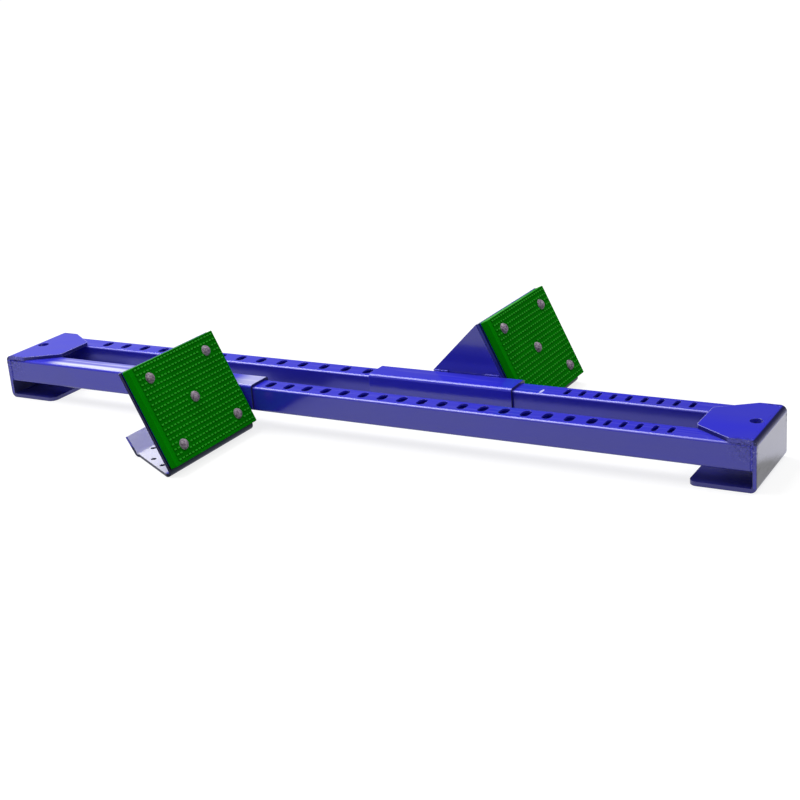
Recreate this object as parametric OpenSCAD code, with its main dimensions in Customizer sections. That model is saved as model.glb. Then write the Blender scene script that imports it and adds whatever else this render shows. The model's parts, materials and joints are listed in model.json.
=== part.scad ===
// Sprint starting blocks: two slotted rails, joined by folded end plates, carry two pedals.
// Each pedal rides over its own rail on a sleeve and is held by a tooth that stands in a rail slot.
// Millimetres, +Z up. The origin lies on the ground, midway between the rails and the ends.
// +X is the running direction. The near side is -Y and the far side is +Y.

/* [Frame] */
// Length over both end plates
frame_l = 850; // [700:1:1000]
// Outside width of the square rail tube
rail_w = 25.4; // [20:0.1:32]
// Wall of the rail tube
rail_wall = 2; // [1.5:0.1:3]
// Outside corner radius of the rail tube
rail_corner_r = 2.6; // [2.2:0.1:4]
// Open width between the two rails
rail_gap = 40.6; // [36:0.1:60]
// Height of the rails' underside above the ground
rail_clear = 19; // [12:0.5:40]
// Thickness of the folded end plates
end_t = 4; // [3:0.1:6]
// Inside radius of the end plate folds
end_bend_r = 2; // [1:0.1:4]
// Length of an end plate's top flange
flange_l = 60; // [48:1:75]
// Length of the flange that keeps the full width, from the end
flange_full_l = 24.5; // [22:0.5:34]
// Width of the flange at its inner edge
flange_inner_w = 45; // [30:1:60]
// Corner radius at the flange's inner edge
flange_corner_r = 5; // [2:0.5:10]
// Length of an end plate's foot on the ground
foot_l = 61; // [40:1:75]
// Corner radius of the foot's free edge
foot_corner_r = 8; // [2:0.5:15]
// Diameter of the ground pin holes in the flange and the foot
pin_d = 12; // [8:0.5:16]
// Distance of the pin holes from the end
pin_inset = 14; // [13:0.5:16]

/* [Slots] */
// Width of a wide slot along the rail
slot_w = 9; // [7:0.5:11]
// Width of a fine slot along the rail
fine_slot_w = 5.2; // [4:0.1:8]
// Length of a slot across the rail
slot_l = 14.6; // [13:0.1:17]
// Spacing of the wide slots in the near rail
near_pitch = 21.7; // [18:0.1:23]
// Place of the near rail's first wide slot, from the middle
near_first_slot = -248.9; // [-265:0.1:-230]
// Wide slots in the near rail
near_slots = 25; // [18:1:25]
// Spacing of the fine slots in the near rail
near_fine_pitch = 14.8; // [12:0.1:16]
// Fine slots in the near rail, after its last wide slot
near_fine_slots = 5; // [1:1:5]
// Spacing of the wide slots in the far rail
far_pitch = 26.4; // [22:0.1:28]
// Place of the far rail's first wide slot, from the middle
far_first_slot = -343.8; // [-350:0.1:-320]
// Wide slots in the far rail
far_slots = 20; // [18:1:20]
// Spacing of the fine slots in the far rail
far_fine_pitch = 15.4; // [12:0.1:16]
// Place of the far rail's first fine slot, from the middle
far_first_fine_slot = 219.8; // [210:0.1:225]
// Fine slots in the far rail
far_fine_slots = 9; // [3:1:9]

/* [Pedal places] */
// Wide slot that the near pedal's tooth stands in, counted from 0
near_pedal_slot = 4; // [0:1:14]
// Wide slot that the far pedal's tooth stands in, counted from 0
far_pedal_slot = 15; // [4:1:17]

/* [Sleeve] */
// Length of the sleeve along the rail
sleeve_l = 158.7; // [120:1:200]
// Thickness of the sleeve's sheet
sleeve_t = 2.5; // [2:0.1:4]
// Gap between the sleeve and each side of the rail
sleeve_side_gap = 0.4; // [0.3:0.1:1]
// Gap between the sleeve and the top of the rail
sleeve_top_gap = 0.3; // [0.3:0.1:1]
// Inside radius of the sleeve's folds
sleeve_bend_r = 1; // [0.5:0.1:2]
// Height of the sleeve's lower edges above the rail's underside
sleeve_edge_rise = 3.7; // [1:0.1:10]
// Distance of the near locking tooth's middle from its sleeve's front end
near_tooth_back = 72.5; // [60:0.1:120]
// Distance of the far locking tooth's middle from its sleeve's front end
far_tooth_back = 115.9; // [90:0.1:120]
// Gap between the locking tooth and each side of its slot
tooth_side_gap = 1.9; // [1:0.1:2.5]
// Gap between each end of the tooth and the end of its slot
tooth_end_gap = 2; // [1.5:0.1:3]
// Length of the tooth below the rail's top wall
tooth_below = 0.8; // [0:0.1:3]

/* [Pedal] */
// Slope of the face from the ground, in degrees
face_angle = 64.5; // [50:0.5:75]
// Thickness of the pedal plate
plate_t = 3; // [2:0.1:4]
// Inside radius of the pedal plate's folds
plate_bend_r = 2; // [1:0.1:4]
// Width of the rubber pad
pad_w = 131; // [110:1:150]
// Length of the pad up its slope
pad_l = 101.5; // [90:0.5:120]
// Thickness of the pad, with its tread
pad_t = 9; // [6:0.5:12]
// Bevel round the pad's front
pad_bevel = 1.6; // [0.5:0.1:3]
// Height of the pad's lower front edge above the ground
pad_rise = 11.6; // [9:0.1:14]
// Distance of that edge in front of the sleeve's front end
pad_ahead = 5.3; // [1:0.1:10]
// Width of the face plate that shows beside the pad's inner edge
pad_inset = 2.5; // [1:0.5:6]
// Width of the face plate that shows beside the pad's outer edge
pad_outset = 1; // [0:0.5:4]
// Length of the face plate above the pad
face_above_pad = 0.6; // [0.5:0.1:5]
// Length of the base plate between the corners of its folds
base_l = 72; // [60:1:80]
// Amount that the base plate's outer edge draws in towards the rear
base_taper = 33; // [10:1:50]
// Height of the rear lip
lip_h = 19; // [10:0.5:24]
// Slope of the rear lip from the ground, in degrees
lip_angle = 60; // [50:1:75]
// Diameter of the spike holes in the base plate
spike_d = 5.5; // [4:0.1:7]
// Distance of the first spike hole from the base plate's front
spike_first = 27; // [20:0.5:28]
// Spacing of the spike holes along the base plate
spike_pitch = 19.2; // [16:0.1:19.5]
// Distance of the spike holes from the drawn-in edge, measured across
spike_edge = 7; // [6:0.5:12]
// Further distance of the rear spike hole from that edge
spike_rear_in = 13; // [0:0.5:20]

/* [Side plate] */
// Thickness of the side plate
side_t = 3.5; // [2:0.1:5]
// Slope of the side plate's rear edge, in degrees
side_angle = 45; // [35:0.5:55]
// Distance of the side plate's lower rear corner from the lip's corner
side_rear_gap = 14; // [12:0.5:20]

/* [Rivets] */
// Diameter of a rivet head
rivet_head_d = 11; // [8:0.5:14]
// Height of a rivet head
rivet_head_h = 4.2; // [1:0.1:5]
// Diameter of a rivet shank
rivet_shank_d = 5; // [3:0.1:6]
// Diameter of a rivet's closed end behind the plate
rivet_tail_d = 8; // [6.5:0.1:10]
// Height of that closed end
rivet_tail_h = 2; // [1:0.1:3]
// Spacing of the corner rivets across the pad
rivet_span_w = 88; // [70:1:100]
// Spacing of the corner rivets up the pad
rivet_span_l = 70; // [60:1:80]

/* [Welds] */
// Radius of the weld beads at the side plate's foot
bead_r = 2.4; // [1.5:0.1:3.5]
// Length of each bead at the side plate's foot
bead_l = 16; // [8:1:25]

/* [Hidden] */
$fn = 48;

// Gap between welded or riveted pieces that lie against each other
seat_gap = 0.3;
// Radial gap round the rivet shanks
rivet_gap = 0.1;
// Amount by which cutting shapes pass the faces that they cut
cut = 1;
// Depth of the upright beads in the frame's end seams, and the gap on each side of them
bead_depth = 2.4;
bead_gap = 0.1;
// Distance of the side plate's beads from the ends of its foot
bead_inset = 1.5;
// Amount by which an arc between slanted edges stays inside them, so that it meets them in clean steps
arc_step = 0.01;
// Flat length kept between the base plate's folds and the ends of its drawn-in edge
fold_margin = 1;

// Colours, as photographed
blue = [0.23, 0.22, 0.80];
green = [0.0, 0.36, 0.02];
rivet_grey = [0.53, 0.47, 0.53];

// Rails
rail_top = rail_clear + rail_w;
rail_y = rail_gap / 2 + rail_w / 2;
frame_w = rail_gap + 2 * rail_w;
rail_l = frame_l - 2 * (end_t + end_bend_r);
near_last_slot = near_first_slot + (near_slots - 1) * near_pitch;

// End plates
frame_top = rail_top + end_t;
pin_x = frame_l / 2 - pin_inset;

// Sleeve: half widths inside and outside, and heights
sleeve_inner = rail_w / 2 + sleeve_side_gap;
sleeve_outer = sleeve_inner + sleeve_t;
sleeve_under = rail_top + sleeve_top_gap;
sleeve_top = sleeve_under + sleeve_t;
sleeve_low = rail_clear + sleeve_edge_rise;
tooth_w = slot_w - 2 * tooth_side_gap;
tooth_l = slot_l - 2 * tooth_end_gap;

// Pedal, with X counted from the sleeve's front end. Directions and corners are in X and Z.
face_up = [-cos(face_angle), sin(face_angle)];
face_out = [sin(face_angle), cos(face_angle)];
lip_up = [-cos(lip_angle), sin(lip_angle)];
lip_in = [sin(lip_angle), cos(lip_angle)];
pad_back_foot = [pad_ahead, pad_rise] - (pad_t + seat_gap) * face_out;
// Corners where the base's underside meets the front of the face and the back of the lip
base_front = pad_back_foot[0] + pad_back_foot[1] / tan(face_angle);
lip_x = base_front - base_l;
// Ends of the flat part of the base, where its folds start
flat_front = base_front - (plate_t + plate_bend_r) / tan(face_angle / 2);
flat_rear = lip_x + (plate_t + plate_bend_r) * tan(lip_angle / 2);
face_len = pad_back_foot[1] / sin(face_angle) + pad_l + face_above_pad;
// Distances across, from the middle of the frame
plate_in = rail_y + sleeve_outer + seat_gap;
plate_out = plate_in + pad_inset + pad_w + pad_outset;
// Ends of the base plate's drawn-in outer edge, in X and Y
taper_front = [flat_front - fold_margin, plate_out];
taper_rear = [flat_rear + fold_margin, plate_out - base_taper];
// Top of the side plate, and the rear end of its foot on the sleeve
side_apex = [base_front, 0] + face_len * face_up - (plate_t + seat_gap) * face_out;
side_rear_x = side_apex[0] - (side_apex[1] - sleeve_top) / tan(side_angle);

// Places of the sleeves' front ends along the rails
near_x = near_first_slot + near_pedal_slot * near_pitch + near_tooth_back;
far_x = far_first_slot + far_pedal_slot * far_pitch + far_tooth_back;

// Rounded outline. Points run anticlockwise and each has its own radius, or 0 for a sharp corner.
// Rounded corners are cut off where their arcs start, and circles fill them.
function unit(v) = v / norm(v);
function half_turn(a, b, c) = acos(unit(a - b) * unit(c - b)) / 2;
function arc_middle(a, b, c, r) = b + unit(unit(a - b) + unit(c - b)) * r / sin(half_turn(a, b, c));

module rounded_outline(points, radii, step = 0) {
    n = len(points);
    polygon([
        for (i = [0 : n - 1])
            let (
                a = points[(i + n - 1) % n],
                b = points[i],
                c = points[(i + 1) % n],
                reach = radii[i] / tan(half_turn(a, b, c))
            )
            each radii[i] > 0 ? [b + reach * unit(a - b), b + reach * unit(c - b)] : [b]
    ]);
    for (i = [0 : n - 1]) if (radii[i] > 0)
        translate(arc_middle(points[(i + n - 1) % n], points[i], points[(i + 1) % n], radii[i]))
            circle(r = radii[i] - step);
}

module rounded_square(w, r) {
    rounded_outline([[-w, -w] / 2, [w, -w] / 2, [w, w] / 2, [-w, w] / 2], [r, r, r, r]);
}

// Turns an outline in X and Z into a solid that runs from one Y to another.
module across(y_from, y_to) {
    translate([0, y_to, 0]) rotate([90, 0, 0]) linear_extrude(y_to - y_from) children();
}

// Turns an outline in Y and Z into a solid that runs from one X to another.
module along(x_from, x_to) {
    translate([x_from, 0, 0]) rotate([90, 0, 90]) linear_extrude(x_to - x_from) children();
}

// Turns an outline in X and Y into a solid that runs from one Z to another.
module upright(z_from, z_to) {
    translate([0, 0, z_from]) linear_extrude(z_to - z_from) children();
}

// Near pieces are the mirror image of far ones.
module near_side() {
    mirror([0, 1, 0]) children();
}

// Rail: square tube, with its slots in the top wall
module slot_outline(w) {
    square([w, slot_l - w], center = true);
    for (side = [-1, 1]) translate([0, side * (slot_l - w) / 2]) circle(d = w);
}

module rail(wide_places, fine_places) {
    color(blue) difference() {
        along(-rail_l / 2, rail_l / 2) translate([rail_y, rail_clear + rail_w / 2]) difference() {
            rounded_square(rail_w, rail_corner_r);
            rounded_square(rail_w - 2 * rail_wall, rail_corner_r - rail_wall);
        }
        upright(rail_top - rail_wall - cut, rail_top + cut) translate([0, rail_y]) {
            for (x = wide_places) translate([x, 0]) slot_outline(slot_w);
            for (x = fine_places) translate([x, 0]) slot_outline(fine_slot_w);
        }
    }
}

module near_rail() {
    near_side() rail(
        [for (i = [0 : near_slots - 1]) near_first_slot + i * near_pitch],
        [for (i = [1 : near_fine_slots]) near_last_slot + i * near_fine_pitch]
    );
}

module far_rail() {
    rail(
        [for (i = [0 : far_slots - 1]) far_first_slot + i * far_pitch],
        [for (i = [0 : far_fine_slots - 1]) far_first_fine_slot + i * far_fine_pitch]
    );
}

// End plate: the right one, with its web at the end of +X
module end_profile() {
    inner_x = frame_l / 2 - max(flange_l, foot_l) - cut;
    end_x = frame_l / 2;
    outer_r = end_t + end_bend_r;
    difference() {
        rounded_outline(
            [[inner_x, 0], [end_x, 0], [end_x, frame_top], [inner_x, frame_top]],
            [0, outer_r, outer_r, 0]
        );
        rounded_outline(
            [
                [inner_x - cut, end_t], [end_x - end_t, end_t],
                [end_x - end_t, frame_top - end_t], [inner_x - cut, frame_top - end_t]
            ],
            [0, end_bend_r, end_bend_r, 0]
        );
    }
}

module flange_outline() {
    end_x = frame_l / 2 + cut;
    full_x = frame_l / 2 - flange_full_l;
    inner_x = frame_l / 2 - flange_l;
    r = flange_corner_r;
    rounded_outline(
        [
            [end_x, -frame_w / 2], [end_x, frame_w / 2], [full_x, frame_w / 2],
            [inner_x, flange_inner_w / 2], [inner_x, -flange_inner_w / 2], [full_x, -frame_w / 2]
        ],
        [0, 0, r, r, r, r],
        arc_step
    );
}

module foot_outline() {
    end_x = frame_l / 2 + cut;
    inner_x = frame_l / 2 - foot_l;
    rounded_outline(
        [[inner_x, -frame_w / 2], [end_x, -frame_w / 2], [end_x, frame_w / 2], [inner_x, frame_w / 2]],
        [foot_corner_r, 0, 0, foot_corner_r]
    );
}

module end_plate() {
    color(blue) difference() {
        intersection() {
            across(-frame_w / 2, frame_w / 2) end_profile();
            union() {
                upright(rail_clear, frame_top + cut) flange_outline();
                upright(-cut, rail_clear) foot_outline();
            }
        }
        translate([pin_x, 0, -cut]) cylinder(d = pin_d, h = frame_top + 2 * cut);
    }
}

module right_end_plate() {
    end_plate();
}

module left_end_plate() {
    mirror([1, 0, 0]) end_plate();
}

// Upright beads in the seams between the rails' ends and the web, on the outer sides
module frame_welds() {
    seam_w = frame_l / 2 - end_t - rail_l / 2;
    color(blue) for (side = [0, 1]) mirror([0, side, 0])
        upright(rail_clear + rail_corner_r, rail_top - rail_corner_r)
            translate([rail_l / 2 + bead_gap, frame_w / 2 - bead_depth])
                square([seam_w - 2 * bead_gap, bead_depth]);
}

module right_frame_welds() {
    frame_welds();
}

module left_frame_welds() {
    mirror([1, 0, 0]) frame_welds();
}

// Sleeve: an inverted U of folded sheet that rides over the rail
module sleeve_outside() {
    r = sleeve_t + sleeve_bend_r;
    translate([rail_y, 0]) rounded_outline(
        [
            [-sleeve_outer, sleeve_low], [sleeve_outer, sleeve_low],
            [sleeve_outer, sleeve_top], [-sleeve_outer, sleeve_top]
        ],
        [0, 0, r, r]
    );
}

module sleeve_inside() {
    r = sleeve_bend_r;
    translate([rail_y, 0]) rounded_outline(
        [
            [-sleeve_inner, sleeve_low - cut], [sleeve_inner, sleeve_low - cut],
            [sleeve_inner, sleeve_under], [-sleeve_inner, sleeve_under]
        ],
        [0, 0, r, r]
    );
}

module sleeve() {
    color(blue) along(-sleeve_l, 0) difference() {
        sleeve_outside();
        sleeve_inside();
    }
}

// Locking tooth: stands down from the sleeve into a slot of the rail
module locking_tooth(tooth_back) {
    color(blue) upright(rail_top - rail_wall - tooth_below, sleeve_under)
        translate([-tooth_back, rail_y]) square([tooth_w, tooth_l], center = true);
}

// Pedal plate, seen from its edge: lip, base and face
module pedal_profile() {
    outer_r = plate_t + plate_bend_r;
    lip_corner = [lip_x, 0];
    front_corner = [base_front, 0];
    lip_top = lip_corner + lip_h / sin(lip_angle) * lip_up;
    face_top = front_corner + face_len * face_up;
    lip_inside = lip_corner + plate_t * [tan(lip_angle / 2), 1];
    front_inside = front_corner + plate_t * [-1 / tan(face_angle / 2), 1];
    difference() {
        rounded_outline(
            [
                lip_corner, front_corner, face_top, face_top - plate_t * face_out,
                lip_top + plate_t * lip_in, lip_top
            ],
            [outer_r, outer_r, 0, 0, 0, 0],
            arc_step
        );
        rounded_outline(
            [
                lip_inside, front_inside, face_top - plate_t * face_out + cut * face_up,
                lip_top + plate_t * lip_in + cut * lip_up
            ],
            [plate_bend_r, plate_bend_r, 0, 0],
            arc_step
        );
    }
}

// Place of the base plate's drawn-in outer edge
function edge_y(x) =
    taper_rear[1] + base_taper * (x - taper_rear[0]) / (taper_front[0] - taper_rear[0]);

// What is cut off outboard of the base plate and the lip
module edge_cutter() {
    rear_x = lip_x - 2 * lip_h;
    front = taper_front + cut * unit(taper_front - taper_rear);
    outer_y = plate_out + 2 * cut;
    upright(-cut, plate_t + cut)
        polygon([front, taper_rear, [rear_x, taper_rear[1]], [rear_x, outer_y], [front[0], outer_y]]);
    upright(-cut, lip_h + plate_t + cut) translate([rear_x, taper_rear[1]])
        square([taper_rear[0] - fold_margin / 2 - rear_x, outer_y - taper_rear[1]]);
}

module spike_holes() {
    insets = [spike_edge, spike_edge, spike_edge + spike_rear_in];
    for (i = [0 : 2]) {
        x = base_front - spike_first - i * spike_pitch;
        translate([x, edge_y(x) - insets[i], -cut]) cylinder(d = spike_d, h = plate_t + 2 * cut);
    }
}

// Places the children on the face plate's front: X outboard, Y up the slope, Z out of the face
module on_face() {
    translate([pad_back_foot[0], plate_in + pad_inset, pad_back_foot[1]])
        rotate([0, face_angle - 90, 0]) rotate([90, 0, 90]) children();
}

module at_rivets() {
    translate([pad_w / 2, pad_l / 2, 0]) {
        children();
        for (side = [-1, 1], end = [-1, 1])
            translate([side * rivet_span_w / 2, end * rivet_span_l / 2, 0]) children();
    }
}

module rivet_holes() {
    on_face() at_rivets() translate([0, 0, -plate_t - cut])
        cylinder(d = rivet_shank_d + 2 * rivet_gap, h = plate_t + pad_t + 3 * cut);
}

module pedal_plate() {
    color(blue) difference() {
        across(plate_in, plate_out) pedal_profile();
        edge_cutter();
        spike_holes();
        rivet_holes();
    }
}

// Side plate: upright gusset outboard of the sleeve, inside the pedal plate's fold
module side_plate() {
    fold_middle = [flat_front, plate_t + plate_bend_r];
    fold_r = plate_bend_r - seat_gap;
    color(blue) across(plate_in, plate_in + side_t) polygon([
        [lip_x + side_rear_gap, plate_t + seat_gap],
        fold_middle - [0, fold_r],
        fold_middle + fold_r * face_out,
        side_apex,
        [side_rear_x, sleeve_top]
    ]);
}

// Pad: rubber slab with a bevel round its front
module pad_section(w) {
    polygon([
        [0, 0], [w, 0], [w, pad_t - pad_bevel], [w - pad_bevel, pad_t],
        [pad_bevel, pad_t], [0, pad_t - pad_bevel]
    ]);
}

module pad() {
    color(green) difference() {
        on_face() translate([0, 0, seat_gap]) intersection() {
            across(0, pad_l) pad_section(pad_w);
            along(0, pad_w) pad_section(pad_l);
        }
        rivet_holes();
    }
}

// Rivets: domed head on the pad, shank, and closed end behind the face plate
module rivet() {
    head_z = seat_gap + pad_t;
    ball_r = (pow(rivet_head_d / 2, 2) + pow(rivet_head_h, 2)) / (2 * rivet_head_h);
    translate([0, 0, head_z]) intersection() {
        translate([0, 0, rivet_head_h - ball_r]) sphere(r = ball_r);
        cylinder(d = rivet_head_d + cut, h = rivet_head_h);
    }
    translate([0, 0, -plate_t]) cylinder(d = rivet_shank_d, h = plate_t + head_z);
    translate([0, 0, -plate_t - rivet_tail_h]) cylinder(d = rivet_tail_d, h = rivet_tail_h);
}

module rivets() {
    color(rivet_grey) on_face() at_rivets() rivet();
}

// Beads in the groove between the side plate and the sleeve's shoulder, one at each end of the foot
module pedal_welds() {
    front_x = side_apex[0] + (side_apex[1] - sleeve_top) / tan(face_angle);
    color(blue) for (start = [side_rear_x + bead_inset, front_x - bead_inset - bead_l])
        along(start, start + bead_l) difference() {
            intersection() {
                translate([plate_in, sleeve_top]) circle(r = bead_r);
                translate([plate_in - 2 * bead_r, sleeve_top - bead_r]) square(2 * bead_r);
            }
            sleeve_outside();
        }
}

module at_near() {
    translate([near_x, 0, 0]) near_side() children();
}

module at_far() {
    translate([far_x, 0, 0]) children();
}

near_rail();
far_rail();
left_end_plate();
right_end_plate();
left_frame_welds();
right_frame_welds();
at_near() sleeve();  // near_sleeve
at_near() locking_tooth(near_tooth_back);  // near_locking_tooth
at_near() side_plate();  // near_side_plate
at_near() pedal_plate();  // near_pedal_plate
at_near() pad();  // near_pad
at_near() rivets();  // near_rivets
at_near() pedal_welds();  // near_pedal_welds
at_far() sleeve();  // far_sleeve
at_far() locking_tooth(far_tooth_back);  // far_locking_tooth
at_far() side_plate();  // far_side_plate
at_far() pedal_plate();  // far_pedal_plate
at_far() pad();  // far_pad
at_far() rivets();  // far_rivets
at_far() pedal_welds();  // far_pedal_welds
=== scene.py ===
# %% [markdown]
# # Starting blocks, dressed in Blender
#
# A pair of sprinter's starting blocks: a low steel frame of two slotted square tubes, and two
# foot pedals that ride on the tubes and drop into their slots. The steel is coated in glossy
# blue enamel and each pedal carries a green rubber pad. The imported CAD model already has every
# steel piece in its right shape and place, so it is loaded as a fixed frame. This script adds
# what the CAD leaves out: the moulded tread of the pads, the rough weld beads, the finishes,
# the light and the camera.

# %% Load the frame
import json
import math

import bpy
from mathutils import Matrix, Vector

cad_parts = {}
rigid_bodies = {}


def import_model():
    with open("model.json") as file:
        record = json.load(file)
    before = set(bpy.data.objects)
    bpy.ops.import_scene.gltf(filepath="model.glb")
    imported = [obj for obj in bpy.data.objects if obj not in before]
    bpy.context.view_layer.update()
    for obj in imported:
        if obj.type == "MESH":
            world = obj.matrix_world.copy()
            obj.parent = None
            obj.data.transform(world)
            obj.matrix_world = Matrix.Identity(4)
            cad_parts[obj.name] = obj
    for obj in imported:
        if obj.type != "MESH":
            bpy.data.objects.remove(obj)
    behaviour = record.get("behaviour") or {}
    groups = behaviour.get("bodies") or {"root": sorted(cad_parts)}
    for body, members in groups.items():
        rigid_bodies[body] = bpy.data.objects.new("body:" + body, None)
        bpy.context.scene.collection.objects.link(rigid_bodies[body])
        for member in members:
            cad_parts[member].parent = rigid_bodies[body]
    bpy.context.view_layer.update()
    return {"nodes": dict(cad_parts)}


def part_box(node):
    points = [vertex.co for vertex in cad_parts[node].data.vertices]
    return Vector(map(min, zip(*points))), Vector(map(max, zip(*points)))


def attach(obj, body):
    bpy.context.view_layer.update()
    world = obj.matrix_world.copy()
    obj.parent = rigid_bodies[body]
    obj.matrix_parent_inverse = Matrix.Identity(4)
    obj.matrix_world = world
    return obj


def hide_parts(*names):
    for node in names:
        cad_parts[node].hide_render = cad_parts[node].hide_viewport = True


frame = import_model()
bpy.ops.object.select_all(action="DESELECT")


def mm(*lengths):
    """Millimetres, as in the CAD source, turned into Blender's metres."""
    metres = [length / 1000 for length in lengths]
    return metres[0] if len(metres) == 1 else Vector(metres)


# %% [markdown]
# ## Camera
#
# The place, the tilt and the lens were worked out from the photograph: from the corners of both
# end plates, the rails' edges and the slots, with the frame 850 mm long. A camera can be turned
# by three angles, or by the directions of its own axes. Three direction vectors are plainer
# here, because they are what the fit gives: to the right in the picture, up, and backwards.

# %% Camera
camera_data = bpy.data.cameras.new("camera")
camera_data.sensor_width = 36
camera_data.lens = 65.61
camera_data.clip_start = 0.05
camera_data.clip_end = 200
camera = bpy.data.objects.new("camera", camera_data)
bpy.context.scene.collection.objects.link(camera)
right = Vector((0.86861755, 0.48951435, -0.07667628))
upward = -Vector((0.09853041, -0.32231003, -0.94149243))
backward = -Vector((-0.48558759, 0.81024191, -0.3281962))
axes = Matrix((right, upward, backward)).transposed().to_4x4()
camera.matrix_world = Matrix.Translation(mm(753.53, -1166.37, 502.70)) @ axes
bpy.context.scene.camera = camera
bpy.context.scene.view_settings.view_transform = "Standard"
print("camera stands", round(camera.location.length, 2), "m from the middle of the frame")

# %% [markdown]
# ## A small language for finishes
#
# A finish is a web of shader nodes. Written out one node and one link at a time, it is long and
# hard to read. Here a `Wire` stands for the output of a node and can be used in Python sums, so
# that `0.2 + 0.1 * dirt` makes its two Math nodes by itself. `Finish.add` makes any other node
# from its type, its settings and the values or wires of its sockets.

# %% Wires and finishes
class Wire:
    """One output socket of a node, which adds Math nodes when it is used in a sum."""

    def __init__(self, finish, socket):
        self.finish = finish
        self.socket = socket

    def maths(self, operation, first, second=0.0):
        return self.finish.add("Math", {"operation": operation}, {0: first, 1: second})

    def __add__(self, other):
        return self.maths("ADD", self, other)

    def __radd__(self, other):
        return self.maths("ADD", other, self)

    def __sub__(self, other):
        return self.maths("SUBTRACT", self, other)

    def __rsub__(self, other):
        return self.maths("SUBTRACT", other, self)

    def __mul__(self, other):
        return self.maths("MULTIPLY", self, other)

    def __rmul__(self, other):
        return self.maths("MULTIPLY", other, self)

    def __abs__(self):
        return self.maths("ABSOLUTE", self)

    def __gt__(self, other):
        return self.maths("GREATER_THAN", self, other)

    def __lt__(self, other):
        return self.maths("LESS_THAN", self, other)


class Finish:
    """A material, and the one method that adds a node to it."""

    def __init__(self, name):
        self.material = bpy.data.materials.new(name)
        self.material.use_nodes = True
        self.tree = self.material.node_tree
        self.tree.nodes.clear()
        self.output = self.tree.nodes.new("ShaderNodeOutputMaterial")

    def add(self, kind, settings=None, inputs=None, out=0):
        node = self.tree.nodes.new("ShaderNode" + kind)
        for name, value in (settings or {}).items():
            setattr(node, name, value)
        for name, value in (inputs or {}).items():
            if isinstance(value, Wire):
                self.tree.links.new(value.socket, node.inputs[name])
            elif isinstance(value, tuple) and len(value) == 3 and node.inputs[name].type == "RGBA":
                node.inputs[name].default_value = (*value, 1)
            else:
                node.inputs[name].default_value = value
        return Wire(self, node.outputs[out])

    def place(self):
        """Object coordinates: the object stands at the origin, so these are its real metres."""
        return self.add("TexCoord", out="Object")

    def axis(self, name):
        """One coordinate of the place, X, Y or Z."""
        return self.add("SeparateXYZ", inputs={0: self.place()}, out=name)

    def noise(self, scale, detail=2.0, stretch=(1, 1, 1), rough=0.5):
        """Soft random grey from 0 to 1, with about `scale` spots in a metre."""
        spot = self.add("Mapping", {}, {"Vector": self.place(), "Scale": stretch})
        inputs = {"Vector": spot, "Scale": scale, "Detail": detail, "Roughness": rough}
        return self.add("TexNoise", inputs=inputs)

    def step(self, value, start, end):
        """0 below start, 1 above end, and a soft slope between them."""
        inputs = {"Value": value, "From Min": start, "From Max": end}
        return self.add("MapRange", {"interpolation_type": "SMOOTHSTEP"}, inputs)

    def blend(self, share, first, second):
        """Colour mix: the first colour at 0 and the second at 1."""
        settings = {"data_type": "RGBA"}
        return self.add("Mix", settings, {0: share, 6: first, 7: second}, out=2)

    def larger(self, first, second):
        """The larger of two values."""
        return self.add("Math", {"operation": "MAXIMUM"}, {0: first, 1: second})

    def coat(self, shader):
        """Joins the shader to the material's output."""
        self.tree.links.new(shader.socket, self.output.inputs["Surface"])
        return self.material


print("finish tools ready")

# %% [markdown]
# ## Blue enamel
#
# The steel is dipped or sprayed in enamel and baked: a thick, very glossy, slightly wavy skin of
# saturated blue. One Principled shader gives it. Sharp edges are painted paler, a painted highlight
# line, and a Bevel node finds those edges: it rounds the normal close to them, and the dot
# product with the true normal tells how far the surface bends. A fine noise in the Bump node is
# the orange peel of sprayed paint, a broad one is the sheet's waviness. A list of colour layers is
# worked out for each kind of piece and mixed in, so one recipe serves them all: real wear, and
# painted highlights, reflections and shade. Where the photograph shows steel darker than any
# paint could be under this light, that shade is painted in as a nearly black metal.

# %% Enamel
blue = (0.028, 0.028, 0.64)
highlight_blue = (0.22, 0.21, 0.90)
dull_blue = (0.050, 0.050, 0.50)
enamel_gloss = 0.72


def edges_of(finish, radius):
    """About 1 on sharp edges and 0 away from them."""
    rounded = finish.add("Bevel", {"samples": 6}, {"Radius": mm(radius)})
    true = finish.add("NewGeometry", out="True Normal")
    bend = finish.add("VectorMath", {"operation": "DOT_PRODUCT"}, {0: rounded, 1: true}, out="Value")
    return finish.step(1 - bend, 0.02, 0.25)


def enamel(name, colour_layers=None):
    """Blue enamel. The second argument takes the finish and gives a list of (mask, colour, roughness,
    metal), for wear and painted light.
    """
    finish = Finish(name)
    cloud = finish.noise(14, 3, stretch=(0.4, 1, 1))
    speck = finish.noise(900, 1)
    edge = edges_of(finish, 0.7)
    colour = finish.blend(0.55 * finish.step(cloud, 0.45, 0.75), blue, dull_blue)
    # Painted highlight: sharp edges are painted paler, a highlight line along them.
    colour = finish.blend(0.45 * edge, colour, highlight_blue)
    roughness = 0.10 + 0.07 * finish.step(cloud, 0.4, 0.8) + 0.04 * speck
    metal = 0.0
    for mask, paint, rough, shine in (colour_layers(finish) if colour_layers else []):
        colour = finish.blend(mask, colour, paint)
        roughness = roughness + mask * (rough - roughness)
        metal = metal + mask * (shine - metal)
    waves = finish.noise(60, 1) * 0.6 + speck * 0.05
    soft = finish.add("Bevel", {"samples": 6}, {"Radius": mm(0.5)})
    relief = {"Strength": 0.35, "Distance": mm(0.25), "Height": waves, "Normal": soft}
    inputs = {
        "Base Color": colour,
        "Roughness": roughness,
        "Normal": finish.add("Bump", {}, relief),
        "Specular IOR Level": enamel_gloss,
    }
    if isinstance(metal, Wire):
        inputs["Metallic"] = metal
    return finish.coat(finish.add("BsdfPrincipled", inputs=inputs))


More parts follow.
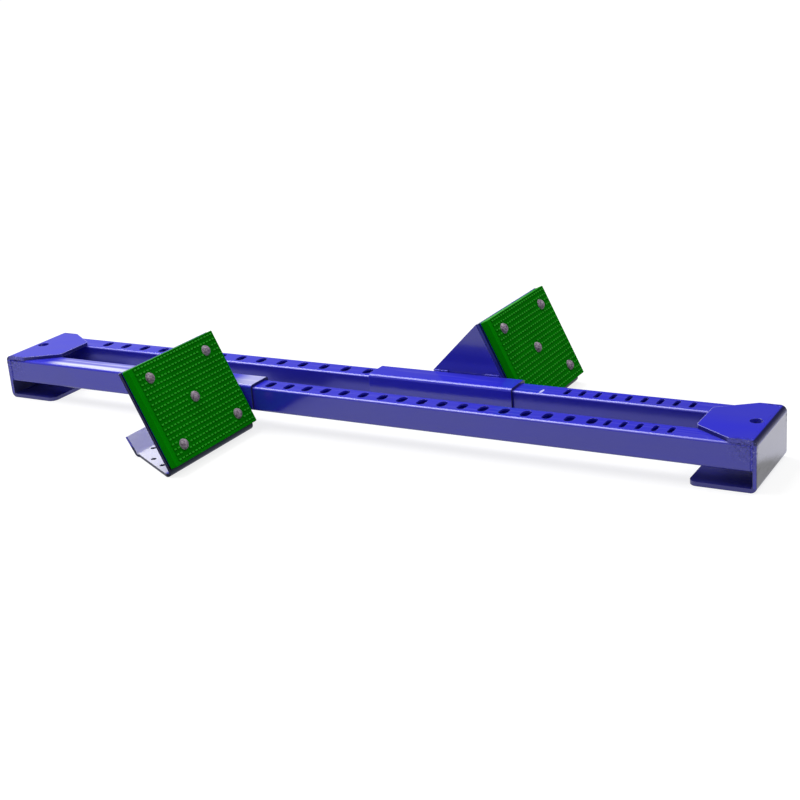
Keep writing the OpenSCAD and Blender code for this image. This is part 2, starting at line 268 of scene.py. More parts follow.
def dress(material, *names):
    """Gives CAD nodes a finish in place of their plain packed one."""
    for name in names:
        piece = frame["nodes"][name]
        piece.data.materials.clear()
        piece.data.materials.append(material)
        for face in piece.data.polygons:
            face.material_index = 0


def shade_dulled(finish):
    """Painted shade: a darker, duller blue over the side plates, for the light they lack."""
    return [(0.35 + 0.25 * finish.noise(25, 3), (0.035, 0.036, 0.26), 0.16, 0.0)]


plain_enamel = enamel("blue enamel")
dress(plain_enamel, "near_locking_tooth", "far_locking_tooth")
# The side plates get painted shade: a darker, duller blue.
dress(enamel("side plate enamel", shade_dulled), "near_side_plate", "far_side_plate")
print("enamel of", len(plain_enamel.node_tree.nodes), "shader nodes")

# %% [markdown]
# ### Rails and sleeves: rubbed where they slide, and painted light
#
# Each time a pedal is moved, its sleeve drags along the rail. That leaves pale, fine streaks on
# the rail's top, along its length. A noise squeezed across and stretched along the rail makes
# them, and they show only on the top face, near the middle of its width. The near rail's bare
# stretch at the left and the front of the near sleeve are painted nearly white, a painted reflection
# of a bright light in the gloss. The rounded edges on the -Y side are painted paler, a painted
# highlight line, and the far rail's wall that faces the near rail is painted darker, a painted shade.
# A sleeve's cut front end is painted almost black, a painted shade.

# %% Rail and sleeve finish
rail_lane = 33.0
rail_half, rail_top = 12.7, 44.4
sleeve_half, sleeve_top = 15.6, 47.2
pedal_front = {"near": -89.6, "far": 168.1}


def chip(finish, x, y, z, size):
    """A small ragged scratch, longer across the rail, where the enamel has flaked."""
    away = finish.add("VectorMath", {"operation": "SUBTRACT"}, {0: finish.place(), 1: mm(x, y, z)})
    away = finish.add("VectorMath", {"operation": "MULTIPLY"}, {0: away, 1: (1.5, 0.4, 1)})
    middle = finish.add("VectorMath", {"operation": "LENGTH"}, {0: away}, out="Value")
    ragged = middle + mm(1.4) * finish.noise(700, 2)
    return 1 - finish.step(ragged, mm(size), mm(size + 0.5))


def near_highlight_edge(finish, half_width, top):
    """The rounded top edge on the -Y side of both rails, or of both sleeves, where a highlight line
    is painted.
    """
    edge = -rail_lane - half_width
    beside = finish.axis("Y")
    local = beside - mm(2 * rail_lane) * (beside > 0)
    high = finish.step(finish.axis("Z"), mm(top - 1.5), mm(top - 0.9))
    return high * (1 - finish.step(local, mm(edge + 1.1), mm(edge + 1.7)))


def weld_burn(finish):
    """Scorched and spattered enamel at the frame's corners, where the rails were welded on."""
    corner = finish.step(abs(finish.axis("X")), mm(394), mm(417))
    outer = finish.step(abs(finish.axis("Y")), mm(40), mm(44))
    high = finish.step(finish.axis("Z"), mm(22), mm(42))
    zone = corner * outer * high
    blotch = finish.noise(330, 3, rough=0.7)
    scorched = zone * finish.step(blotch, 0.50, 0.58)
    bare = zone * (1 - finish.step(blotch, 0.34, 0.40))
    return [
        (0.85 * scorched, (0.010, 0.010, 0.10), 0.4, 0.3),
        (0.7 * bare, (0.50, 0.50, 0.84), 0.4, 0.0),
    ]


def slide_wear_and_painted_light(finish):
    height = finish.axis("Z")
    along = finish.axis("X")
    beside = finish.axis("Y")
    across = abs(abs(beside) - mm(rail_lane))
    top = finish.step(height, mm(rail_top - 0.5), mm(rail_top - 0.1))
    middle = 1 - finish.step(across, mm(5), mm(12))
    streaks = finish.step(finish.noise(26, 4, stretch=(0.35, 14, 1), rough=0.6), 0.50, 0.66)
    near = beside < 0
    # Painted reflection: the near rail's bare stretch at the left is painted nearly white, with a
    # whiter band.
    past_left_plate = finish.step(along, mm(-372), mm(-345))
    before_slots = 1 - finish.step(along, mm(-262), mm(-236))
    zone = near * past_left_plate * before_slots
    glare_band = 1 - finish.step(abs(beside + mm(40)) + mm(3.2) * streaks, mm(3.0), mm(5.5))
    plain_end = near * (1 - finish.step(along, mm(-262), mm(-240)))
    # Painted highlight: the rounded -Y top edge is painted paler.
    highlit_near_edge = near_highlight_edge(finish, rail_half, rail_top) * (1 - plain_end)
    flake = chip(finish, 195.6, 27.5, rail_top, 2.6)
    # Painted shade: the far rail's wall that faces the near rail is painted darker.
    from_inner = abs(beside - mm(rail_lane - rail_half))
    shaded_inner_wall = (1 - finish.step(from_inner, mm(0.2), mm(0.4))) * (1 - top)
    return [
        (shaded_inner_wall * 0.6, (0.022, 0.022, 0.42), 0.2, 0.25),
        (top * middle * streaks * 0.25, (0.16, 0.15, 0.74), 0.28, 0.0),
        (top * zone * (0.30 + 0.55 * streaks), (0.52, 0.52, 0.90), 0.22, 0.0),
        (top * zone * glare_band * 0.9, (0.76, 0.78, 0.95), 0.25, 0.0),
        (highlit_near_edge * 0.65, (0.34, 0.33, 0.95), 0.22, 0.0),
        (flake * 0.85, (0.60, 0.60, 0.95), 0.5, 0.0),
    ] + weld_burn(finish)


def sleeve_wear_and_painted_light(finish):
    height = finish.axis("Z")
    along = finish.axis("X")
    near = finish.axis("Y") < 0
    streaks = finish.step(finish.noise(30, 4, stretch=(0.4, 8, 1), rough=0.6), 0.50, 0.75)
    top = finish.step(height, mm(sleeve_top - 0.4), mm(sleeve_top - 0.1))
    # Painted reflection: the front of the near sleeve's top is painted nearly white.
    glare_front = near * finish.step(along, mm(-125), mm(-100))
    apart = pedal_front["far"] - pedal_front["near"]
    from_end = along - mm(pedal_front["far"]) + mm(apart) * near
    # Painted shade: the sleeve's cut front end is painted almost black.
    shaded_front_end = finish.step(from_end, mm(-0.3), mm(-0.1))
    return [
        (top * streaks * 0.2, (0.16, 0.15, 0.74), 0.30, 0.0),
        (top * glare_front * (0.6 + 0.4 * streaks), (0.72, 0.73, 0.96), 0.25, 0.0),
        # Painted highlight: the rounded -Y top edge of the sleeves is painted paler.
        (near_highlight_edge(finish, sleeve_half, sleeve_top) * 0.65, (0.34, 0.33, 0.95), 0.22, 0.0),
        (shaded_front_end * 0.9, (0.006, 0.006, 0.05), 0.45, 0.5),
    ]


dress(enamel("rail enamel", slide_wear_and_painted_light), "near_rail", "far_rail")
dress(enamel("sleeve enamel", sleeve_wear_and_painted_light), "near_sleeve", "far_sleeve")
print("rails and sleeves finished")

# %% [markdown]
# ### End plates: webs painted with a grey reflection
#
# The outer face of each web is painted as a thin grey metallic film with lighter streaks, a
# painted reflection of the light floor. Lower down it is painted darker, a painted reflection of
# the floor's shadow, and the fold above it is darker too. The hollow behind it and the foot are
# painted darker, a painted shade. The flange's cut edge is painted nearly black, a painted shade,
# and the corner above that edge is painted pale, a painted highlight.

# %% End plate finish
half_length = 425.0
end_sheet = 4.0
flange_top = rail_top + end_sheet
rail_under = rail_top - 2 * rail_half


def web_wear_and_painted_light(finish):
    outward = abs(finish.axis("X"))
    height = finish.axis("Z")
    beside = finish.axis("Y")
    # Painted reflection: the outer face of each web is painted a grey metallic film with lighter
    # streaks.
    end = finish.step(outward, mm(half_length - 0.8), mm(half_length - 0.2))
    smear = finish.noise(30, 4, stretch=(1, 0.6, 2.2), rough=0.6)
    sheen_streaks = finish.step(finish.noise(60, 4, stretch=(1, 0.5, 3), rough=0.7), 0.45, 0.7)
    upper = finish.step(height, mm(1), mm(7)) * (1 - finish.step(height, mm(42), mm(44.5)))
    # Painted shade: the web's lower part is painted darker, the floor's shadow as mirrored there.
    low = 1 - finish.step(height + mm(9) * smear + 0.32 * beside, mm(14.5), mm(24.5))
    near_end = finish.step(outward, mm(half_length - 4.1), mm(half_length - 2.8))
    fold = near_end * finish.step(height, mm(flange_top - 5.8), mm(flange_top - 4.2))
    above_rails = finish.step(height, mm(rail_top + 0.1), mm(rail_top + 0.3))
    flange = above_rails * (1 - finish.step(outward, mm(398), mm(402)))
    # Painted shade: the flange's cut edge is painted nearly black.
    shaded_cut_edge = flange * (1 - finish.step(height, mm(flange_top - 0.9), mm(flange_top - 0.6)))
    corner = finish.step(height, mm(flange_top - 0.7), mm(flange_top - 0.5))
    # Painted highlight: the corner above the flange's cut edge is painted pale.
    highlit_top_edge = flange * corner * edges_of(finish, 1.2)
    # Painted shade: the hollow behind the web and the foot are painted darker.
    behind_web = 1 - finish.step(outward, mm(half_length - 3.8), mm(half_length - 3.4))
    inner = behind_web * finish.step(height, mm(end_sheet - 0.3), mm(end_sheet - 0.1))
    foot = 1 - finish.step(height, mm(end_sheet + 0.1), mm(end_sheet + 0.4))
    below_rails = 1 - finish.step(height, mm(rail_under - 0.8), mm(rail_under + 0.5))
    shaded_hollow = inner * below_rails * (1 - foot)
    return [
        (end * upper * 0.92, (0.33, 0.33, 0.385), 0.24, 0.7),
        (end * upper * sheen_streaks * 0.3, (0.42, 0.42, 0.46), 0.35, 0.5),
        (end * low * (0.80 + 0.20 * sheen_streaks), (0.045, 0.045, 0.052), 0.35, 0.6),
        (fold * 0.95, (0.008, 0.008, 0.075), 0.35, 0.6),
        (shaded_cut_edge * 0.85, (0.006, 0.006, 0.06), 0.4, 0.5),
        (highlit_top_edge * 0.9, (0.75, 0.74, 1.0), 0.25, 0.0),
        (shaded_hollow * 0.85, (0.014, 0.014, 0.035), 0.6, 0.3),
        (foot * 0.7, (0.030, 0.030, 0.11), 0.3, 0.3),
    ] + weld_burn(finish)


dress(enamel("end plate enamel", web_wear_and_painted_light), "left_end_plate", "right_end_plate")
print("end plates finished")

# %% [markdown]
# ### Pedal plates: painted reflection and shade
#
# The base plate behind the pad and the lip at its rear are painted nearly white, a painted
# reflection of a bright light, where the real ones also mirror the blue side plate. The plate's
# underside, the fold below the pad and the two strips beside it are painted nearly black, a
# painted shade. The face plate's top edge is painted pale, a painted highlight, most at its -Y end.
# The masks are built from real places: the planes of the face and of the lip, the thickness of the
# sheet and the pad's two sides. `along` is measured from the pedal's own front, because each
# pedal stands at another X.

# %% Pedal plate finish
lean = math.radians(64.5)
face_at, face_length = 0.53, 110.5
lip_lean = math.radians(60)
lip_at = -71.47
pad_w, pad_l, pad_thick = 131.0, 101.5, 9.0
pad_inner = 51.4


def base_painted_light(which):
    tip = -150 if which == "near" else 85
    pad_outer = pad_inner + pad_w

    def colour_layers(finish):
        along = finish.axis("X") - mm(pedal_front[which])
        height = finish.axis("Z")
        out = abs(finish.axis("Y"))
        behind_fold = 1 - finish.step(along, mm(-13), mm(-8))
        from_lip = (along - mm(lip_at)) * math.sin(lip_lean) + height * math.cos(lip_lean)
        inside = finish.step(height, mm(2.75), mm(2.95)) * finish.step(from_lip, mm(2.7), mm(2.95))
        on_lip = 1 - finish.step(along, mm(-68), mm(-64))
        low = 1 - finish.step(height - mm(18) * on_lip, mm(3.5), mm(4.8))
        smear = finish.noise(40, 4, rough=0.6)
        # Painted reflection: the base plate's top and the lip's inside are painted nearly white.
        painted_glare = behind_fold * inside * low * (0.88 + 0.12 * smear)
        # Painted shade: the plate's underside is painted nearly black.
        shaded_underside = (1 - inside) * (1 - finish.step(height, mm(9), mm(12)))
        from_face = along - mm(face_at)
        up_face = height * math.sin(lean) - from_face * math.cos(lean)
        # Painted highlight: the face plate's top edge is painted pale, most at its -Y end.
        highlit_top_edge = finish.step(up_face, mm(face_length - 0.5), mm(face_length - 0.2))
        highlight_near_corner = 0.25 + 0.55 * (1 - finish.step(finish.axis("Y"), mm(tip - 22), mm(tip)))
        out_of_face = from_face * math.sin(lean) + height * math.cos(lean)
        below_pad = 1 - finish.step(height, mm(9.5), mm(12))
        # Painted shade: the face plate's strip below the pad is painted nearly black.
        shaded_skin = finish.step(out_of_face, mm(-2.2), mm(-1.7)) * below_pad
        # Painted shade: the plate's cut edges beside the pad are painted nearly black.
        shaded_outer_cut = finish.step(out, mm(pad_outer - 0.3), mm(pad_outer))
        beside_pad = 1 - finish.step(out, mm(pad_inner - 0.2), mm(pad_inner + 0.1))
        shaded_inner_cut = beside_pad * finish.step(out_of_face, mm(-3.5), mm(-3.1))
        return [
            (shaded_inner_cut * 0.85, (0.010, 0.018, 0.13), 0.4, 0.7),
            (shaded_underside * 0.95, (0.018, 0.020, 0.032), 0.45, 0.92),
            (shaded_skin * 0.97, (0.016, 0.024, 0.024), 0.5, 0.95),
            (painted_glare, (0.95, 0.95, 0.99), 0.24, 0.0),
            (shaded_outer_cut * 0.96, (0.012, 0.014, 0.030), 0.45, 0.9),
            (highlit_top_edge * highlight_near_corner, (0.75, 0.76, 0.85), 0.3, 0.3),
        ]

    return colour_layers


for which in ("near", "far"):
    dress(enamel(which + " pedal plate enamel", base_painted_light(which)), which + "_pedal_plate")
print("pedal plates finished")

# %% [markdown]
# ## Rivets
#
# Five domed rivets hold each pad. They are bare metal that has gone dull and speckled from shoes
# and weather. Hardly any shine is left, so the shader is a rough mottled grey and no metal.

# %% Rivet metal
def rivet_metal():
    finish = Finish("dull rivet metal")
    mottle = finish.noise(520, 3, rough=0.65)
    grime = finish.noise(130, 2)
    colour = finish.blend(finish.step(mottle, 0.38, 0.62), (0.13, 0.092, 0.140), (0.44, 0.37, 0.45))
    colour = finish.blend(0.4 * finish.step(grime, 0.5, 0.8), colour, (0.11, 0.09, 0.11))
    roughness = 0.42 + 0.25 * mottle
    inputs = {
        "Base Color": colour,
        "Roughness": roughness,
        "Normal": finish.add("Bump", {}, {"Strength": 0.6, "Distance": mm(0.2), "Height": mottle}),
        "Specular IOR Level": 0.2,
    }
    return finish.coat(finish.add("BsdfPrincipled", inputs=inputs))


dress(rivet_metal(), "near_rivets", "far_rivets")
print("rivets finished")

# %% [markdown]
# ## Green rubber
#
# Moulded rubber is matt and nearly without reflections. The tops of the pips are painted paler, a
# painted highlight, and the valleys darker, a painted shade. The broad border is a little
# brighter green, the side next to it is painted brighter still, a painted highlight, and the top
# edge is painted palest, a painted highlight that fades towards +Y. Height above the pad's face
# isn't one of the object's axes here, because the pad leans, so the height is worked out from X
# and Z with the lean of the face. `front_foot` is the lower edge of the pad's front, measured from
# the pedal's own front. `pad_foot` is the same edge carried back to the steel, and `seat` is the
# small gap between steel and rubber.

# %% Rubber
face_out = Vector((math.sin(lean), 0, math.cos(lean)))
face_up = Vector((-math.cos(lean), 0, math.sin(lean)))
seat = 0.3
front_foot = Vector((5.3, 0, 11.6))
pad_foot = front_foot - (pad_thick + seat) * face_out
floor_of_tread = 8.35


def first_y(which):
    """The Y of a pad's -Y side."""
    return pad_inner if which == "far" else -pad_inner - pad_w


def rubber(which):
    finish = Finish(which + " pad rubber")
    foot = pad_foot + Vector((pedal_front[which], 0, 0))
    spot = finish.add("VectorMath", {"operation": "SUBTRACT"}, {0: finish.place(), 1: mm(*foot)})
    rise = finish.add("VectorMath", {"operation": "DOT_PRODUCT"}, {0: spot, 1: face_out}, out="Value")
    # Painted highlight: the tops of the pips are painted paler.
    highlit_tips = finish.step(rise, mm(seat + pad_thick + 0.04), mm(seat + pad_thick + 0.35))
    # Painted shade: the floor of the tread between the pips is painted darker.
    deep = 1 - finish.step(rise, mm(seat + floor_of_tread + 0.05), mm(seat + floor_of_tread + 0.3))
    climb = finish.add("VectorMath", {"operation": "DOT_PRODUCT"}, {0: spot, 1: face_up}, out="Value")
    # Painted highlight: the pad's top edge is painted palest, fading towards +Y.
    highlit_top_side = finish.step(climb, mm(pad_l - 1.1), mm(pad_l - 0.3))
    across = finish.axis("Y") - mm(first_y(which))
    smooth = 1 - finish.step(across, mm(4.6), mm(5.4))
    # Painted highlight: the -Y side of the pad is painted brighter.
    highlit_flank = 1 - finish.step(across, mm(0.3), mm(1.4))
    highlight_fading = 1 - 0.7 * finish.step(across, mm(55), mm(125))
    cloud = finish.noise(22, 3)
    grain = finish.noise(1500, 2)
    patches = finish.step(cloud, 0.35, 0.7)
    colour = finish.blend(patches, (0.0004, 0.205, 0.0003), (0.0008, 0.245, 0.0006))
    colour = finish.blend(highlit_tips, colour, (0.028, 0.37, 0.022))
    colour = finish.blend(0.3 * deep, colour, (0.0003, 0.120, 0.0002))
    colour = finish.blend(0.3 * smooth, colour, (0.0008, 0.270, 0.0006))
    colour = finish.blend(0.5 * highlit_flank, colour, (0.0010, 0.360, 0.0008))
    colour = finish.blend(0.7 * highlit_top_side * highlight_fading, colour, (0.09, 0.42, 0.08))
    roughness = 0.62 + 0.2 * grain
    inputs = {
        "Base Color": colour,
        "Roughness": roughness,
        "Normal": finish.add("Bump", {}, {"Strength": 0.4, "Distance": mm(0.08), "Height": grain}),
        "Specular IOR Level": 0.02,
    }
    return finish.coat(finish.add("BsdfPrincipled", inputs=inputs))


print("rubber ready")

# %% [markdown]
# ## Pads
#
# Each pad is a rubber slab, 131 by 101.5 by 9 mm. Its front is a field of small pips in straight
# rows. The floor between them is sunk below a smooth border, and the pips stand 0.45 mm above it.
# The border is broad on the -Y side and narrow round the rest, on both pads alike, so both came
# out of one mould. The rows' spacing was measured in the photograph: 5.2 mm up the slope and about
# 4.9 mm across. A slab can be one box with its front face inset and pushed in. The pips could be
# drawn in the shader, but real ones catch the light on their upper sides and stay right from every
# angle, so one pip is modelled and two Array modifiers repeat it. All of it is made lying flat at
# the origin and then carried to its place on the leaning face plate.

# %% Helpers for modelling by hand
def select_faces(piece, test):
    """Edit mode, with only the faces selected whose middle and normal pass the test."""
    bpy.ops.object.mode_set(mode="EDIT")
    bpy.ops.mesh.select_mode(type="FACE")
    bpy.ops.mesh.select_all(action="DESELECT")
    bpy.ops.object.mode_set(mode="OBJECT")
    for face in piece.data.polygons:
        face.select = test(face.center, face.normal)
    bpy.ops.object.mode_set(mode="EDIT")


def only(piece):
    """Selects one object and makes it the active one."""
    bpy.ops.object.select_all(action="DESELECT")
    piece.select_set(True)
    bpy.context.view_layer.objects.active = piece


def box(name, low, high):
    """A box between two corners, in mm, with its size already in its mesh."""
    bpy.ops.mesh.primitive_cube_add(size=1, location=mm(*[(a + b) / 2 for a, b in zip(low, high)]))
    piece = bpy.context.object
    piece.name = name
    piece.scale = mm(*[b - a for a, b in zip(low, high)])
    only(piece)
    bpy.ops.object.transform_apply(location=True, rotation=True, scale=True)
    return piece


def join(main, *others):
    """Joins other objects into the first."""
    bpy.ops.object.select_all(action="DESELECT")
    for piece in (*others, main):
        piece.select_set(True)
    bpy.context.view_layer.objects.active = main
    bpy.ops.object.join()
    return main


def triangles(piece):
    return sum(len(face.vertices) - 2 for face in piece.data.polygons)


print("modelling helpers ready")

# %% [markdown]
# ### The slab
#
# The front of the box is inset by the narrow border. Scaling that inner face about its far corner
# widens the border on two sides, and a second inset sinks the field. Last, the long outer edges
# get a soft bevel, as a mould leaves them.

# %% Slab
border = 1.2
side_border = 5.0
foot_border = 2.6
pip_x, pip_y = 4.93, 5.2
rivet_aside, rivet_up = 44, 35
rivet_places = [(pad_w / 2, pad_l / 2)] + [
    (pad_w / 2 + side * rivet_aside, pad_l / 2 + end * rivet_up)
    for side in (-1, 1)
    for end in (-1, 1)
]


def make_slab():
    slab = box("slab", (0, 0, 0), (pad_w, pad_l, pad_thick))
    select_faces(slab, lambda middle, normal: normal.z > 0.9)
    bpy.ops.mesh.inset(thickness=mm(border))
    narrower = (pad_w - border - side_border) / (pad_w - 2 * border)
    lower = (pad_l - border - foot_border) / (pad_l - 2 * border)
    bpy.ops.transform.resize(
        value=(narrower, lower, 1),
        center_override=mm(pad_w - border, pad_l - border, pad_thick),
    )
    bpy.ops.mesh.inset(thickness=mm(0.5), depth=-mm(pad_thick - floor_of_tread))
    bpy.ops.object.mode_set(mode="OBJECT")
    bevel = slab.modifiers.new("soft rim", "BEVEL")
    bevel.width = mm(1.1)
    bevel.segments = 3
    bevel.limit_method = "ANGLE"
    bevel.angle_limit = math.radians(60)
    bpy.ops.object.modifier_apply(modifier="soft rim")
    return slab


slab = make_slab()
print("slab:", triangles(slab), "triangles")

# %% [markdown]
# ### One pip, and the whole field of them
#
# A pip is a little block, longer across than up the slope, whose top is drawn in so that its
# flanks slope. Scaling the top face does that. A bevel on it would be too small to see and would
# multiply the faces by several hundred, so the flat facets stay. Pips that would stand under a
# rivet are taken out of the array.

# %% Pips
seat_radius = 5.9


def spread(low, high, pitch):
    """How many pips fit between two lines, and where the first one stands, in mm."""
    count = int((high - low) / pitch) + 1
    return count, (low + high - (count - 1) * pitch) / 2


def near_rivet(middle, normal):
    """Whether a face lies on the round seat of a rivet, or less than 0.5 mm from it."""
    clear = mm(seat_radius + 0.5)
    return any(math.hypot(middle.x - mm(x), middle.y - mm(y)) < clear for x, y in rivet_places)


def make_pips():
    columns, start_x = spread(side_border + 2.5, pad_w - border - 2.4, pip_x)
    rows, start_y = spread(foot_border + 2.0, pad_l - border - 1.9, pip_y)
    half_x, half_y = 1.95, 1.35
    root, tip = floor_of_tread - 0.3, pad_thick + 0.45
    top_share = (0.78, 0.45, 1)
    pip = box(
        "pips",
        (start_x - half_x, start_y - half_y, root),
        (start_x + half_x, start_y + half_y, tip),
    )
    select_faces(pip, lambda middle, normal: normal.z > 0.9)
    bpy.ops.transform.resize(value=top_share)
    bpy.ops.object.mode_set(mode="OBJECT")
    for axis, count, pitch in ((0, columns, pip_x), (1, rows, pip_y)):
        rows_of = pip.modifiers.new("rows", "ARRAY")
        rows_of.count = count
        rows_of.use_relative_offset = False
        rows_of.use_constant_offset = True
        rows_of.constant_offset_displace = (0, 0, 0)
        rows_of.constant_offset_displace[axis] = mm(pitch)
        bpy.ops.object.modifier_apply(modifier=rows_of.name)
    select_faces(pip, near_rivet)
    bpy.ops.mesh.select_linked()
    bpy.ops.mesh.delete(type="VERT")
    bpy.ops.object.mode_set(mode="OBJECT")
    print("pips:", columns, "by", rows, "with", len(pip.data.vertices) // 8, "left round the rivets")
    return pip


pips = make_pips()

# %% [markdown]
# ### Seats for the rivets
#
# Under each rivet head the tread is left out and the rubber stands up to the rim's height, as a
# flat round seat. A cylinder with a bevelled top does it.

# %% Rivet seats
seat_depth = 1.4


def make_seats():
    seats = []
    for x, y in rivet_places:
        bpy.ops.mesh.primitive_cylinder_add(
            vertices=32,
            radius=mm(seat_radius),
            depth=mm(seat_depth),
            location=mm(x, y, pad_thick - seat_depth / 2),
        )
        seat_ring = bpy.context.object
        bpy.ops.object.transform_apply(location=True, rotation=True, scale=True)
        select_faces(seat_ring, lambda middle, normal: normal.z > 0.9)
        bpy.ops.mesh.bevel(offset=mm(0.35), segments=2)
        bpy.ops.object.mode_set(mode="OBJECT")
        seats.append(seat_ring)
    return seats


flat_pad = join(slab, pips, *make_seats())
print("flat pad:", triangles(flat_pad), "triangles")

# %% [markdown]
# ### Onto the pedals
#
# The flat pad's X becomes the object's +Y, its Y runs up the slope and its Z out of the face.
# One matrix says so, and each pad has its own corner to start from.

# %% Pads in place
def make_pad(which):
    pad = flat_pad.copy()
    pad.data = flat_pad.data.copy()
    pad.name = which + "_tread_pad"
    bpy.context.scene.collection.objects.link(pad)
    corner = pad_foot + seat * face_out + Vector((pedal_front[which], first_y(which), 0))
    turn = Matrix((Vector((0, 1, 0)), face_up, face_out)).transposed().to_4x4()
    pad.data.transform(Matrix.Translation(mm(*corner)) @ turn)
    pad.data.materials.clear()
    pad.data.materials.append(rubber(which))
    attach(pad, which + "_pedal")
    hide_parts(which + "_pad")
    low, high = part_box(which + "_pad")
    mine = [pad.matrix_world @ v.co for v in pad.data.vertices]
    gaps = [round(1000 * (min(v[i] for v in mine) - low[i]), 2) for i in range(3)]
    print(pad.name, triangles(pad), "triangles, lowest corner off the CAD pad by", gaps, "mm")


for which in ("near", "far"):
    make_pad(which)
bpy.data.objects.remove(flat_pad)

# %% [markdown]
# ## Weld beads
#
# A weld bead is a row of overlapping frozen puddles. It can be drawn with a bump, but on a bead
# 2 mm wide the outline shows the ripples too. So a short row of flattened balls is laid along
# the seam, each a little different in size, and a voxel remesh melts them into one skin. The
# CAD has plain beads in the same places, which these replace.

# %% Beads
puddle_pitch = 1.3
unevenness = 0.28


def uneven(seed, i):
    """A number from -0.5 to 0.5 that looks random and is the same in each run."""
    value = math.sin(seed * 12.9898 + i * 78.233) * 43758.5453
    return value - math.floor(value) - 0.5


def bead(name, start, end, size, flat, seed):
    """A rippled bead from start to end, in mm. `flat` squashes its balls along each axis."""
    start, end = Vector(start), Vector(end)
    count = max(3, round((end - start).length / puddle_pitch))
    puddles = []
    for i in range(count):
        place = start + (end - start) * (i + 0.5) / count
        radius = size * (1 + unevenness * uneven(seed, i))
        bpy.ops.mesh.primitive_uv_sphere_add(
            segments=16, ring_count=10, radius=mm(radius), location=mm(*place)
        )
        puddle = bpy.context.object
        puddle.scale = flat
        bpy.ops.object.transform_apply(location=True, rotation=True, scale=True)
        puddles.append(puddle)
    piece = join(puddles[0], *puddles[1:])
    piece.name = name
    melt = piece.modifiers.new("melt", "REMESH")
    melt.mode = "VOXEL"
    melt.voxel_size = mm(0.28)
    bpy.ops.object.modifier_apply(modifier="melt")
    bpy.ops.object.shade_smooth()
    return piece


def finish_beads(name, parts, body, node):
    piece = join(parts[0], *parts[1:])
    piece.name = name
    piece.data.materials.clear()
    piece.data.materials.append(weld_enamel)
    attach(piece, body)
    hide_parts(node)
    print(name, triangles(piece), "triangles")


def spatter(finish):
    burnt = finish.step(finish.noise(420, 3, rough=0.7), 0.5, 0.66)
    bright = finish.step(finish.noise(900, 2), 0.56, 0.64)
    return [
        (0.5 + 0.4 * burnt, (0.030, 0.030, 0.33), 0.6, 0.7),
        (0.6 * bright, (0.30, 0.28, 0.72), 0.6, 0.0),
    ]


weld_enamel = enamel("weld enamel", spatter)
seam_out = 420.3
seam_aside = rail_lane + rail_half - 0.5
seam_low, seam_high = 21, 43

for side_name, end in (("left", -1), ("right", 1)):
    seams = []
    for lane in (-1, 1):
        low = (end * seam_out, lane * seam_aside, seam_low)
        high = (end * seam_out, lane * seam_aside, seam_high)
        seams.append(bead("seam", low, high, 1.5, (0.85, 0.85, 1), seed=end + 3 * lane))
    finish_beads(side_name + "_weld_seams", seams, "frame", side_name + "_frame_welds")

# %% [markdown]
# ### Beads at the side plates' feet
#
# Two short beads hold each side plate to its sleeve, one at each end of the foot.

# %% Side plate beads
side_of = {"near": -1, "far": 1}
run_length = 16
run_aside, run_height = 48.4, 47.3

for which in ("near", "far"):
    low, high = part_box(which + "_pedal_welds")
    runs = []
    for start_x in (1000 * low.x, 1000 * high.x - run_length):
        first = (start_x + 1, side_of[which] * run_aside, run_height)
        last = (start_x + run_length - 1, side_of[which] * run_aside, run_height)
        runs.append(bead("run", first, last, 1.6, (1, 0.9, 0.8), seed=start_x))
    finish_beads(which + "_foot_beads", runs, which + "_pedal", which + "_pedal_welds")

# %% [markdown]
# ## Floor and light
#
# The object lies on a plain pale floor under soft studio light. A big soft lamp hangs up and to
# the left: it lights the tops and draws the bright line along the rounded edges of the tubes.
# The floor throws little light back, so the upright sides stay deep, and a glow that only the
# camera and mirrors see makes it read as white. It grows a little with the distance, where the
# lamp reaches less, and it leaves the object's shadow.

# %% Floor
bpy.ops.object.select_all(action="DESELECT")
bpy.ops.mesh.primitive_plane_add(size=120, location=mm(0, 0, -0.2))
ground = bpy.context.object
ground.name = "floor"
floor = Finish("white floor")
seen = floor.add("LightPath", out="Is Camera Ray")
for ray in ("Is Glossy Ray", "Is Transmission Ray"):
    seen = floor.larger(seen, floor.add("LightPath", out=ray))
matt = floor.add("BsdfDiffuse", inputs={"Color": (0.26, 0.26, 0.26)})
reach = floor.add("VectorMath", {"operation": "LENGTH"}, {0: floor.place()}, out="Value")
white = floor.blend(floor.step(reach, 0.5, 3.0), (0.80, 0.80, 0.80), (0.94, 0.94, 0.94))
glow = floor.add("Emission", inputs={"Color": white, "Strength": 1.0})
both = floor.add("AddShader", inputs={0: matt, 1: glow})
ground.data.materials.append(floor.coat(floor.add("MixShader", inputs={0: seen, 1: matt, 2: both})))
print("floor is", round(ground.dimensions.x), "m wide")

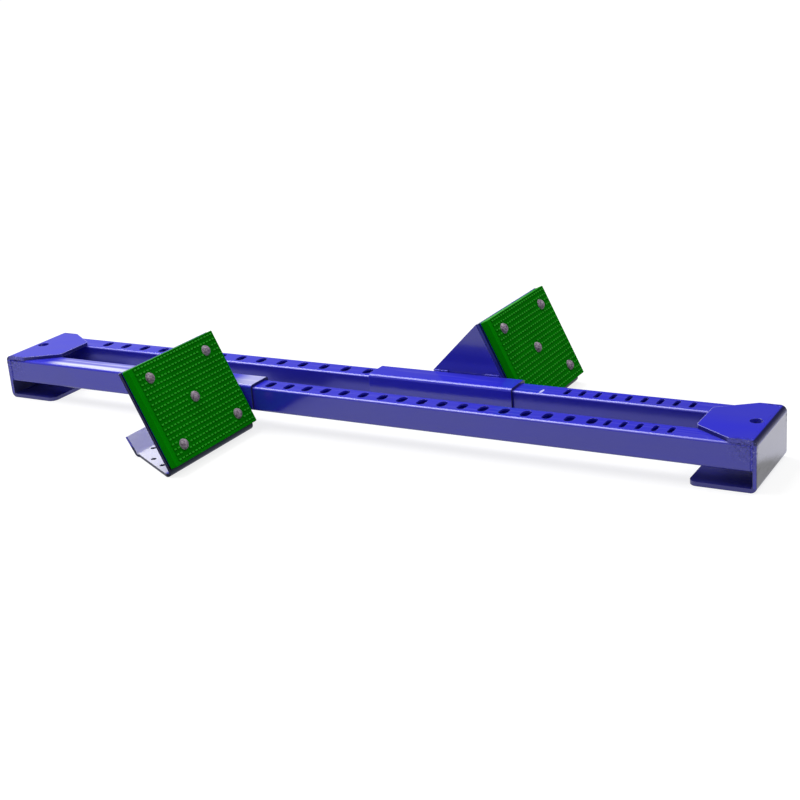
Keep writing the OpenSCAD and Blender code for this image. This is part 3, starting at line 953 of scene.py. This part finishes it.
# %% [markdown]
# ### The room and the lamps
#
# A glossy top shows what stands opposite the camera. In the photograph the tops fall from pale
# lavender at the left end to deep blue at the right, so the room is darker straight behind the
# object's right half. That is one soft change in the world's strength, by direction. Rays that
# come straight from the camera see full white instead, so the background is white from every
# side, and that puts no light on the object. A small second lamp evens out the light that falls
# on the right half.

# %% Room and lamps
dark_heading = (-0.098, 0.935, 0.342)
world = bpy.data.worlds.new("room")
bpy.context.scene.world = world
world.use_nodes = True
nodes, links = world.node_tree.nodes, world.node_tree.links
heading = nodes.new("ShaderNodeTexCoord")
nearness = nodes.new("ShaderNodeVectorMath")
nearness.operation = "DOT_PRODUCT"
nearness.inputs[1].default_value = dark_heading
links.new(heading.outputs["Generated"], nearness.inputs[0])
level = nodes.new("ShaderNodeMapRange")
level.interpolation_type = "SMOOTHSTEP"
for socket, value in (("From Min", 0.766), ("From Max", 0.985), ("To Min", 0.42), ("To Max", 0.07)):
    level.inputs[socket].default_value = value
links.new(nearness.outputs["Value"], level.inputs["Value"])
seen_itself = nodes.new("ShaderNodeLightPath")
strength = nodes.new("ShaderNodeMath")
strength.operation = "MAXIMUM"
links.new(level.outputs["Result"], strength.inputs[0])
links.new(seen_itself.outputs["Is Camera Ray"], strength.inputs[1])
links.new(strength.outputs["Value"], nodes["Background"].inputs["Strength"])
nodes["Background"].inputs["Color"].default_value = (1, 1, 1, 1)


def soft_lamp(name, place, wide, deep, watts):
    """A rectangular lamp that faces straight down and isn't seen itself."""
    lamp_data = bpy.data.lights.new(name, "AREA")
    lamp_data.shape = "RECTANGLE"
    lamp_data.size = wide
    lamp_data.size_y = deep
    lamp_data.energy = watts
    lamp = bpy.data.objects.new(name, lamp_data)
    lamp.location = place
    lamp.visible_camera = False
    bpy.context.scene.collection.objects.link(lamp)
    print(name, "of", watts, "W at", place)


soft_lamp("ceiling lamp", (-1.2, 0.1, 2.1), 1.7, 2.2, 56)
soft_lamp("fill lamp", (0.9, 0.3, 2.2), 0.9, 0.9, 15)

# %% [markdown]
# ## The end

# The dressed part has to stay inside the box of the CAD model.

# %% Finish
bpy.ops.object.select_all(action="DESELECT")
